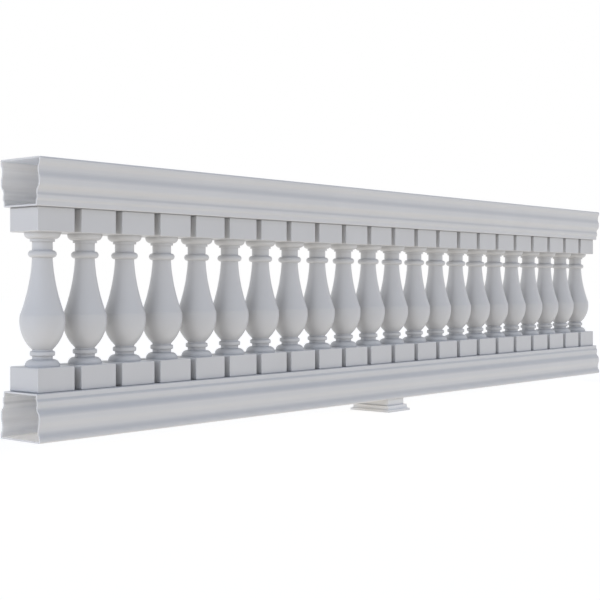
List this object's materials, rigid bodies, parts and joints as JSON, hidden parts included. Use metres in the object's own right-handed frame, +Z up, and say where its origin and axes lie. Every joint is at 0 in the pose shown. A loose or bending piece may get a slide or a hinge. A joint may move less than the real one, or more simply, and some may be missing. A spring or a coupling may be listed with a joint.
{
  "type": "hollow moulded balustrade section",
  "caption": "White moulded balustrade section: hollow top and bottom rails with open ends, a close row of square-ended turned vase balusters and a small foot block at mid-span.",
  "frame": {"origin": "centre of the foot's flat underside, at mid-span, on the surface that the foot stands on", "axes": "+X along the rails, +Y across them, +Z up; the section is alike on both sides and from both ends"},
  "size_m": [3.658, 0.198, 0.91],
  "materials": {
    "rail": "satin white moulded skin",
    "baluster": "satin white moulded skin",
    "foot": "satin white moulded skin"
  },
  "bodies": {
    "root": {"top_rail": "rail", "bottom_rail": "rail", "baluster_01": "baluster", "baluster_02": "baluster", "baluster_03": "baluster", "baluster_04": "baluster", "baluster_05": "baluster", "baluster_06": "baluster", "baluster_07": "baluster", "baluster_08": "baluster", "baluster_09": "baluster", "baluster_10": "baluster", "baluster_11": "baluster", "baluster_12": "baluster", "baluster_13": "baluster", "baluster_14": "baluster", "baluster_15": "baluster", "baluster_16": "baluster", "baluster_17": "baluster", "baluster_18": "baluster", "baluster_19": "baluster", "baluster_20": "baluster", "baluster_21": "baluster", "baluster_22": "baluster", "foot_base": "foot", "foot_block": "foot"}
  },
  "joints": []
}
